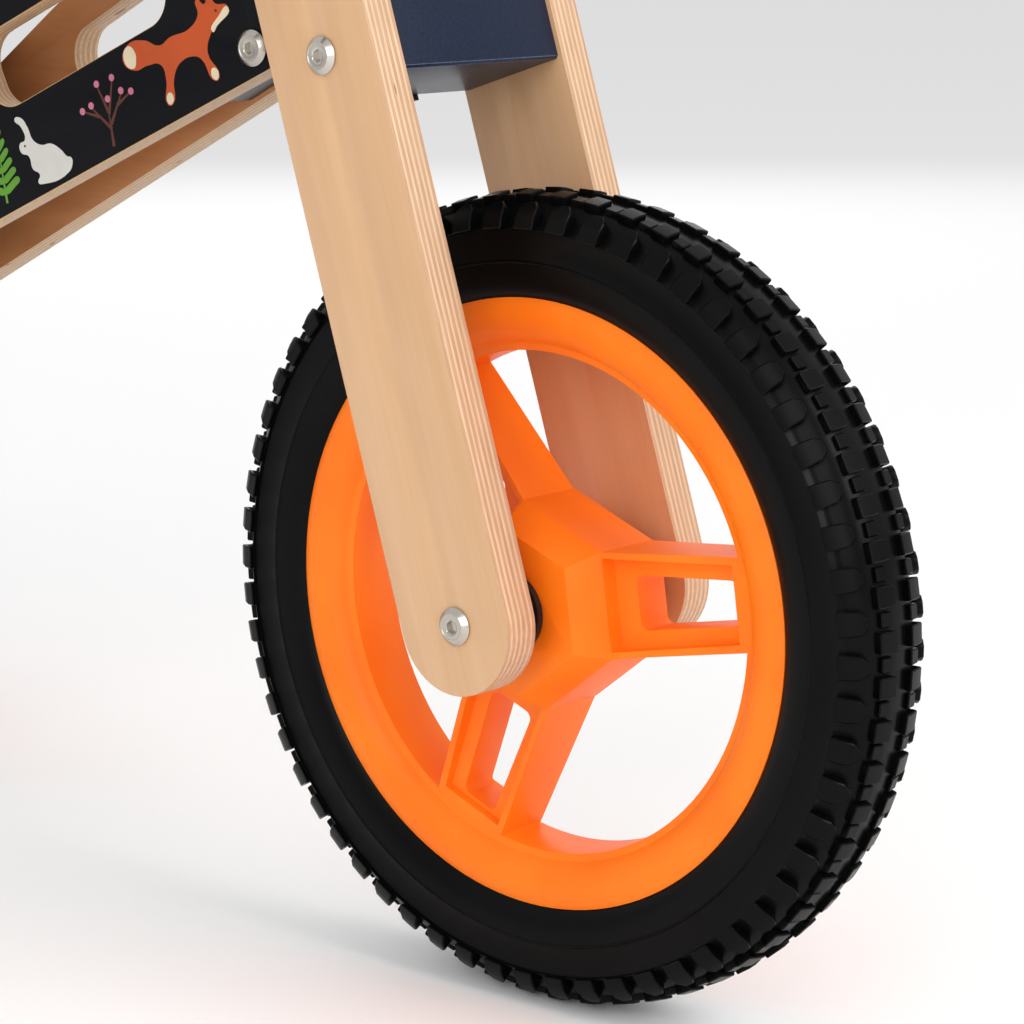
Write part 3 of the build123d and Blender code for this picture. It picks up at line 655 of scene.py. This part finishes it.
for side, sign in (("left", 1), ("right", -1)):
    outward = Vector((panel_out.x, -sign * panel_out.y, 0))
    panel = dress(merged_copy("frame_panel_" + side, "printed_panel_" + side),
                  panel_edge, film, birch_inside_with_painted_shade, bare_edge)
    paint_faces(panel, 1, lambda middle, normal: normal.dot(outward) > 0.99)
    # The inward faces take the darker birch, which is painted shade.
    paint_faces(panel, 2, lambda middle, normal: normal.dot(outward) < -0.99)
    ease_edges(panel, 1.3, segments=2, angle=40, material=3)
    finished(smooth(panel), "frame", "printed_plywood", "frame_panel_" + side)

# %% [markdown]
# # Painted blocks and seat post
# Beech blocks tie the blades together under the frame and under the bar. Their edges are
# eased wider than the plywood's, and the rounding carries the worn paint.

# %% Blocks and post
for node, name, body in (("crown_block", "painted_crown_block", "fork"),
                         ("bar_block", "painted_bar_block", "fork"),
                         ("seat_post", "painted_seat_post", "seat")):
    timber = dress(merged_copy(node, name), navy, navy_worn)
    ease_edges(timber, 0.7, segments=2, angle=28, material=1)
    finished(smooth(timber), body, "navy_wood", node)

# %% [markdown]
# # Bolts
# The bike is held together by furniture bolts with a wide flat head: a bright cone rises to a
# flat disc, and a hexagon socket is sunk in the middle. One bolt is turned, the rings of its
# socket are pushed onto a hexagon, and it is copied to every place where the CAD model has such a
# bolt.

# %% Where the bolts are
def solids_of(node):
    """The points of each separate solid in a CAD node."""
    cage = bmesh.new()
    cage.from_mesh(frame["nodes"][node].data)
    bmesh.ops.remove_doubles(cage, verts=cage.verts, dist=0.002 * mm)
    unseen, groups = set(cage.verts), []
    while unseen:
        wave, group = [unseen.pop()], []
        while wave:
            vertex = wave.pop()
            group.append(vertex.co.copy())
            for edge in vertex.link_edges:
                other = edge.other_vert(vertex)
                if other in unseen:
                    unseen.remove(other)
                    wave.append(other)
        groups.append(group)
    cage.free()
    return groups


def top_of(points, outward):
    """The middle of the flat top that looks along a direction."""
    reach = max(point.dot(outward) for point in points)
    top = [point for point in points if point.dot(outward) > reach - 0.05 * mm]
    low = Vector([min(point[i] for point in top) for i in range(3)])
    high = Vector([max(point[i] for point in top) for i in range(3)])
    return (low + high) / 2


# %% One bolt
def to_hexagon(piece, radius, along, across):
    """Slide the vertices of one ring in or out onto a hexagon measured across its flats."""
    for vertex in piece.data.vertices:
        reach = math.hypot(vertex.co.x, vertex.co.z)
        if abs(reach - radius * mm) < 2e-6 and abs(vertex.co.y - along * mm) < 1e-6:
            turn = math.degrees(math.atan2(vertex.co.z, vertex.co.x)) % 60 - 30
            fit = across / 2 * mm / math.cos(math.radians(turn)) / reach
            vertex.co.x, vertex.co.z = vertex.co.x * fit, vertex.co.z * fit


def socket_bolt(name, radius, height, flat, across, shank, length):
    """A bolt along Y, with the flat top of its head at y = 0 and its shank behind."""
    sunk, mouth, deep = -0.15, across * 0.6, across * 0.59
    rings = [(shank, -length), (shank, -height), (radius - 0.2, -height),
             (radius, -height + 0.2), (radius, -height + 0.8), (flat + 0.25, -0.15),
             (flat, 0), (flat - 0.35, 0), (flat - 0.6, sunk), (mouth + 0.35, sunk),
             (mouth + 0.1, sunk - 0.05), (mouth, sunk - 0.3), (deep, -2.0)]
    bolt = turned(name, rings, sides=48)
    to_hexagon(bolt, mouth, sunk - 0.3, across)
    to_hexagon(bolt, deep, -2.0, across)
    return smooth(dress(bolt, nickel), 25)


def fit_bolts(pattern, node, body, name, outward):
    """Copy a bolt to every solid of a CAD node. Outward gives its direction on a side."""
    copies = []
    for index, points in enumerate(solids_of(node)):
        side = 1 if sum(point.y for point in points) > 0 else -1
        way = outward(side).normalized()
        turn = Matrix((way.cross(Vector((0, 0, 1))), way, Vector((0, 0, 1)))).transposed()
        bolt = copy_of(pattern, name + str(index))
        spin = Matrix.Rotation(math.radians(17 + 23 * index), 4, "Y")
        bolt.data.transform(Matrix.Translation(top_of(points, way)) @ turn.to_4x4() @ spin)
        copies.append(bolt)
    finished(joined(copies, name), body, "nickel_steel", node)


def sideways(side):
    """Straight out from the middle plane."""
    return Vector((0, side, 0))


def square_to_panel(side):
    """Out of a splayed panel's face."""
    return Vector((panel_out.x, -side * panel_out.y, 0))


bolt = socket_bolt("socket bolt", 7.0, 2.6, 5.0, 4.5, 3.0, 14.0)
fit_bolts(bolt, "crown_bolts", "fork", "crown_socket_bolts", sideways)
fit_bolts(bolt, "bar_block_bolts", "fork", "bar_block_socket_bolts", sideways)
fit_bolts(bolt, "front_axle_bolts", "fork", "front_axle_socket_bolts", sideways)
fit_bolts(bolt, "rear_axle_bolts", "frame", "rear_axle_socket_bolts", sideways)
fit_bolts(bolt, "head_bolts", "frame", "head_socket_bolts", square_to_panel)
bpy.data.objects.remove(bolt)

# %% [markdown]
# The smaller hardware keeps its CAD shape, which is already what the real parts are, and
# only takes its finish.

# %% Finishes for the parts that stay
stays = {
    nickel: ["clamp_bolts", "clamp_nuts", "bracket_screws", "steering_pin", "steering_nut",
             "thrust_washers", "bar_lock_screw", "seat_screws"],
    powder: ["head_fitting", "steering_bracket", "handlebar"],
    bronze: ["steering_bushes"],
    cap_black: ["front_bearing_caps", "rear_bearing_caps"],
    ground: ["front_axle", "rear_axle", "front_bearing_inner_rings", "rear_bearing_inner_rings",
             "front_bearing_outer_rings", "rear_bearing_outer_rings"],
}
for finish, nodes in stays.items():
    for node in nodes:
        dress(frame["nodes"][node], finish)
print("CAD parts that stay", sum(len(nodes) for nodes in stays.values()))

# %% [markdown]
# # Handlebar grips
# A child's grip is one soft rubber moulding: a round flange keeps the hand off the blade,
# shallow ribs run round the sleeve, and the closed end is domed and thick, so that the bar's
# end can't hurt. It is turned about the bar.

# %% Grips
grip_low, grip_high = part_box("grip_left")
bar_middle = (grip_low + grip_high) / 2
inner, outer = grip_low.y / mm, grip_high.y / mm


def grip_rings():
    """The grip's outline from its flange to its domed end."""
    rings = [(11.2, inner), (18.9, inner), (19.8, inner + 0.6), (20.0, inner + 1.6),
             (19.8, inner + 3.0), (18.6, inner + 3.9), (16.2, inner + 4.6)]
    along = inner + 7.0
    while along < outer - 14:
        rings += [(15.4, along), (15.4, along + 2.6), (14.5, along + 3.1), (14.5, along + 3.9)]
        along += 4.4
    rings += [(15.5, outer - 9.5), (15.6, outer - 6.0), (15.2, outer - 3.6), (13.8, outer - 1.6),
              (11.0, outer - 0.5), (6.0, outer)]
    return rings


for side, sign in (("left", 1), ("right", -1)):
    rings = [(radius, sign * along) for radius, along in grip_rings()]
    grip = turned("ribbed_grip_" + side, rings, sides=64)
    grip.data.transform(Matrix.Translation((bar_middle.x, 0, bar_middle.z)))
    smooth(dress(grip, grip_black), 40)
    finished(grip, "fork", "grip_rubber", "grip_" + side)

# %% [markdown]
# # Seat
# The seat is a foam pad under a sewn cover of soft synthetic leather, on a plywood board. The
# cover pulls in at its piped lower edge and swells above it. A cloth simulation with a little
# air pressure gives that swelling, from a pad that starts slightly too small.

# %% Seat board
board = dress(merged_copy("seat_base", "plywood_seat_board"),
              birch_edge("birch plywood edge, seat", (0, 0, 1), -math.pi / 2),
              birch_face("lacquered birch, seat", -math.pi / 2))
ease_edges(board, 0.9, segments=2, angle=40)
paint_faces(board, 1, lambda middle, normal: abs(normal.z) > 0.98)
finished(smooth(board), "seat", "plywood", "seat_base")

# %% Cover material
def soft_cover(name, dark, light, pebble_mm):
    """Synthetic leather: pebbles pressed in a soft film, lighter on top and darker in the creases
    as painted shade.
    """
    material, tree, shader = new_material(name)
    here = add(tree, "ShaderNodeTexCoord").outputs["Object"]
    pebble = add(tree, "ShaderNodeTexVoronoi", {"Scale": 1 / (pebble_mm * mm)}, {"Vector": here})
    # The colour runs from light at each pebble's top to dark in the creases between pebbles,
    # following the bump: painted shade.
    tone = add(tree, "ShaderNodeValToRGB", {"stops": [(0.0, light), (0.75, dark)]},
               {"Fac": pebble.outputs["Distance"]})
    dome = add(tree, "ShaderNodeMath", {"operation": "SUBTRACT", 0: 1.0},
               {1: pebble.outputs["Distance"]})
    finish_with(tree, shader, tone.outputs["Color"], dome.outputs["Value"], 0.12,
                Roughness=0.5, IOR=1.5, Sheen_Weight=0.1)
    return material


cover = soft_cover("synthetic leather, charcoal, with painted crease shade", "1B1C1F", "2A2B2F", 1.4)
thread = even_finish("polyester thread, orange", "E06A1E", "F08A3A", 0.3, 0.6, 0.03, IOR=1.5)

# %% Cushion
pad_low, pad_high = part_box("seat_cushion")
pad = dress(merged_copy("seat_cushion", "sewn_cushion"), cover)
only(pad)
bpy.ops.object.mode_set(mode="EDIT")
bpy.ops.mesh.select_all(action="SELECT")
pad_middle = (pad_low + pad_high) / 2
bpy.ops.transform.resize(value=(0.965, 0.95, 0.87),
                         center_override=(pad_middle.x, pad_middle.y, pad_low.z))
bpy.ops.object.mode_set(mode="OBJECT")
use(pad, "REMESH", mode="VOXEL", voxel_size=5 * mm)


def swell(piece, pressure, limit):
    """Blow a pad up as cloth from the inside, with its foot held, and cap each move."""
    start = [vertex.co.copy() for vertex in piece.data.vertices]
    foot = piece.vertex_groups.new(name="foot")
    foot.add([v.index for v in piece.data.vertices if v.co.z < pad_low.z + 2.5 * mm], 1, "ADD")
    cloth = piece.modifiers.new("cloth", "CLOTH")
    cloth.settings.use_pressure = True
    cloth.settings.uniform_pressure_force = pressure
    cloth.settings.vertex_group_mass = "foot"
    cloth.settings.effector_weights.gravity = 0
    cloth.settings.quality = 6
    for number in range(1, 21):
        scene.frame_set(number)
    only(piece)
    bpy.ops.object.modifier_apply(modifier="cloth")
    scene.frame_set(1)
    for vertex, was in zip(piece.data.vertices, start):
        move = vertex.co - was
        if move.length > limit:
            vertex.co = was + move * (limit / move.length)
    piece.vertex_groups.clear()


swell(pad, 4.0, 6 * mm)
use(pad, "SUBSURF", levels=1, render_levels=1)
print("cushion top", round(max(v.co.z for v in pad.data.vertices) / mm, 1), "mm")

# %% Sewn seam
rim_points = sorted({(round(v.co.x, 5), round(v.co.y, 5))
                     for v in frame["nodes"]["seat_cushion"].data.vertices
                     if v.co.z < pad_low.z + 0.1 * mm},
                    key=lambda p: math.atan2(p[1], p[0] - pad_middle.x))


def seam_line(inset, height):
    """A closed line round the seat, drawn in from its outline and at a height."""
    line = []
    for x, y in rim_points:
        out = Vector((x - pad_middle.x, y, 0))
        line.append(pad_middle.xy.to_3d() + out * (1 - inset * mm / out.length)
                    + Vector((0, 0, pad_low.z + height * mm)))
    return line


def follow(name, line, thickness):
    """A round cord along a closed line, as a mesh."""
    clear()
    curve = bpy.data.curves.new(name, "CURVE")
    curve.dimensions = "3D"
    curve.bevel_depth = thickness / 2 * mm
    curve.bevel_resolution = 3
    spline = curve.splines.new("POLY")
    spline.points.add(len(line) - 1)
    for point, place in zip(spline.points, line):
        point.co = (*place, 1)
    spline.use_cyclic_u = True
    cord = bpy.data.objects.new(name, curve)
    bpy.context.collection.objects.link(cord)
    only(cord)
    bpy.ops.object.convert(target="MESH")
    return bpy.context.object


piping = smooth(dress(follow("saddle_piping", seam_line(2.2, 2.4), 3.6), thread), 60)
smooth(pad, 60)
finished(pad, "seat", "seat_cover", "seat_cushion")
finished(piping, "seat", "seat_cover")

# %% [markdown]
# # The printed woodland
# Wooden children's bikes often carry a cheerful print under the lacquer. This one is a plain
# night woodland drawn for this bike: a fox, a sitting hare, toadstools, ferns, budding twigs
# and fir trees in flat colours. Each figure is a few flat outlines with smooth corners, laid
# a hair's breadth above the film, and the far panel carries the same scene mirrored.

# %% Inks
def ink(name, code):
    """One flat printing ink under satin lacquer."""
    darker = "".join("%02X" % int(int(code[i:i + 2], 16) * 0.9) for i in (0, 2, 4))
    return even_finish("printing ink, " + name, darker, code, 0.5, 0.5, 0.004, IOR=1.5,
                       Specular_IOR_Level=0.3)


rust = ink("rust", "C4511F")
cream = ink("cream", "E6D6B6")
pale = ink("pale grey", "D8D6CE")
brown = ink("brown", "5B2F22")
rose = ink("rose", "C8728A")
green = ink("leaf green", "5E9A2C")
deep_green = ink("fir green", "28543A")


# %% Flat outlines
def flat_shape(points, material, soft=True):
    """A filled outline in mm on a flat sheet, soft or with straight sides."""
    clear()
    curve = bpy.data.curves.new("outline", "CURVE")
    curve.dimensions = "2D"
    curve.fill_mode = "BOTH"
    curve.extrude = 0.03 * mm
    curve.resolution_u = 5
    spline = curve.splines.new("BEZIER")
    spline.bezier_points.add(len(points) - 1)
    for knot, (x, y) in zip(spline.bezier_points, points):
        knot.co = (x * mm, y * mm, 0)
        knot.handle_left_type = knot.handle_right_type = "AUTO" if soft else "VECTOR"
    spline.use_cyclic_u = True
    sheet = bpy.data.objects.new("outline", curve)
    bpy.context.collection.objects.link(sheet)
    only(sheet)
    bpy.ops.object.convert(target="MESH")
    return dress(bpy.context.object, material)


def dot(x, y, radius, material):
    """A round spot of ink."""
    return flat_shape([(x + radius, y), (x, y + radius), (x - radius, y), (x, y - radius)],
                      material)


def stroke(start, end, wide, narrow, material):
    """A straight stem that tapers from its start to its end."""
    (x0, y0), (x1, y1) = start, end
    length = math.hypot(x1 - x0, y1 - y0)
    side_x, side_y = -(y1 - y0) / length, (x1 - x0) / length
    return flat_shape([(x0 + side_x * wide, y0 + side_y * wide),
                       (x1 + side_x * narrow, y1 + side_y * narrow),
                       (x1 - side_x * narrow, y1 - side_y * narrow),
                       (x0 - side_x * wide, y0 - side_y * wide)], material, soft=False)


# %% Figures
def fox():
    """A fox that trots towards the front wheel."""
    return [
        flat_shape([(34, 19), (27, 24), (25, 31), (21, 26), (17, 30), (15, 23), (7, 19), (-6, 20),
                    (-14, 19), (-22, 25), (-33, 27), (-39, 21), (-34, 14), (-25, 13), (-17, 10),
                    (-17, 2), (-21, -9), (-18, -10), (-12, 1), (-6, 6), (4, 6), (8, 3), (12, -10),
                    (15, -9), (13, 4), (18, 11), (24, 14)], rust),
        flat_shape([(34, 19), (27, 17.5), (20, 12), (24, 13.5)], cream),
        flat_shape([(-33, 26.4), (-38.3, 21), (-34, 15), (-31, 18), (-30, 22)], cream),
        flat_shape([(-20.6, -8.6), (-18.2, -9.6), (-16.2, -5.5), (-18.4, -4)], cream),
        flat_shape([(12.2, -9.6), (14.7, -8.7), (14.2, -4), (11.4, -4.4)], cream),
        dot(26.2, 20.4, 0.8, brown)]


def hare():
    """A sitting hare that looks back."""
    return [
        flat_shape([(13, -15), (-9, -15), (-13, -13), (-10, -9), (-14, -4), (-14, 4), (-19, 8),
                    (-18, 13), (-13, 14), (-13, 22), (-16, 28), (-11, 27), (-8, 20), (-7, 12),
                    (-2, 7), (6, 5), (12, -1), (15, -6), (18, -8), (17, -12)], pale),
        dot(-14.5, 10.6, 0.8, brown)]


def twig():
    """A budding shrub."""
    stems = [((0, 0), (1, 16)), ((1, 8), (-9, 20)), ((1, 10), (11, 23)), ((1, 16), (-3, 29)),
             ((1, 15), (7, 30)), ((-5, 15), (-14, 19)), ((7, 18), (16, 22))]
    shapes = [stroke(start, end, 0.9, 0.35, brown) for start, end in stems]
    for x, y in ((-9, 21), (11, 24), (-3, 30), (7, 31), (-15, 19.5), (17, 22.5), (2, 22)):
        shapes.append(dot(x, y, 1.7, rose))
    return shapes


def fern():
    """A fern frond with leaflets on both sides."""
    shapes = [stroke((0, 0), (3, 34), 0.7, 0.3, green)]
    for step in range(6):
        y = 5 + step * 5
        x, reach = y * 0.088, 11 - step * 1.5
        for side in (-1, 1):
            shapes.append(flat_shape([(x, y), (x + side * reach * 0.6, y + 1.2),
                                      (x + side * reach, y + 5), (x + side * reach * 0.4, y + 4)],
                                     green))
    return shapes


def toadstool():
    """A toadstool with a spotted cap."""
    return [
        flat_shape([(-2.2, 0), (2.4, 0), (1.5, 7), (1.7, 14), (-1.5, 14), (-1.4, 7)], cream),
        flat_shape([(-9, 12), (-6.5, 18), (0, 21.5), (6.5, 18), (9, 12), (0, 13.2)], rust),
        dot(-4, 16, 1.1, cream), dot(1.5, 18.4, 1.2, cream), dot(5, 14.6, 0.9, cream)]


def fir():
    """A fir tree in three tiers."""
    return [stroke((0, 0), (0, 8), 1.4, 1.2, brown)] + [
        flat_shape([(-half, y), (half, y), (0, y + rise)], deep_green, soft=False)
        for y, half, rise in ((6, 12, 16), (15, 9.5, 14), (24, 7, 14))]


def night_sky():
    """Stars above and behind the hand slot, placed along the lower edge and above it."""
    places = [(-100, 78), (-74, 80), (-48, 77), (-20, 79.5), (8, 76), (27, 60), (-124, 66),
              (-136, 48), (-146, 72), (-158, 55), (-172, 66), (-176, 42), (-121, 42)]
    return [dot(x, y, 0.9 + 0.35 * (index % 3), cream)
            for index, (x, y) in enumerate(places)]


# %% Laying the print on the panels
edge_slope = math.radians(24.75)
edge_start = (-170.0, 171.1)


def print_on(side, figures):
    """Lay figures on a panel, each placed along its lower edge and above it, in mm."""
    outward = square_to_panel(side)
    upward = Vector((0, 0, 1))
    forward = Vector((math.cos(splay), -side * math.sin(splay), 0))
    face = Matrix((forward, upward, outward)).transposed().to_4x4()
    origin = Vector((panel_point.x, -side * panel_point.y, panel_point.z))
    pieces = []
    for shapes, along, above, turn, size in figures:
        x = edge_start[0] + along * math.cos(edge_slope) - above * math.sin(edge_slope)
        z = edge_start[1] + along * math.sin(edge_slope) + above * math.cos(edge_slope)
        over = (front_hub.x + x * mm - origin.x) / math.cos(splay)
        place = origin + forward * over + upward * (front_hub.z + z * mm - origin.z)
        place += outward * 0.035 * mm
        put = (Matrix.Translation(place) @ face @ Matrix.Rotation(math.radians(turn), 4, "Z")
               @ Matrix.Scale(size, 4))
        for layer, shape in enumerate(shapes()):
            shape.data.transform(put @ Matrix.Translation((0, 0, layer * 0.006 * mm)))
            pieces.append(shape)
    sheet = joined(pieces, "woodland_print_" + ("left" if side > 0 else "right"))
    only(sheet)
    bpy.ops.object.mode_set(mode="EDIT")
    bpy.ops.mesh.select_all(action="SELECT")
    bpy.ops.mesh.normals_make_consistent(inside=False)
    bpy.ops.object.mode_set(mode="OBJECT")
    return finished(sheet, "frame", "printed_plywood")


woodland = [
    (fox, 10, 15, 24, 0.80), (twig, -40, 4, 14, 0.85), (hare, -75, 14.5, 22, 0.68),
    (fern, -104, 5, 16, 0.85), (toadstool, -126, 5, 14, 0.9), (fir, -150, 6, 14, 0.95),
    (toadstool, -182, 5, 14, 0.7), (fern, -206, 5, 18, 0.55), (night_sky, 0, 0, 24.75, 1.0),
]
for side in (-1, 1):
    print_on(side, woodland)
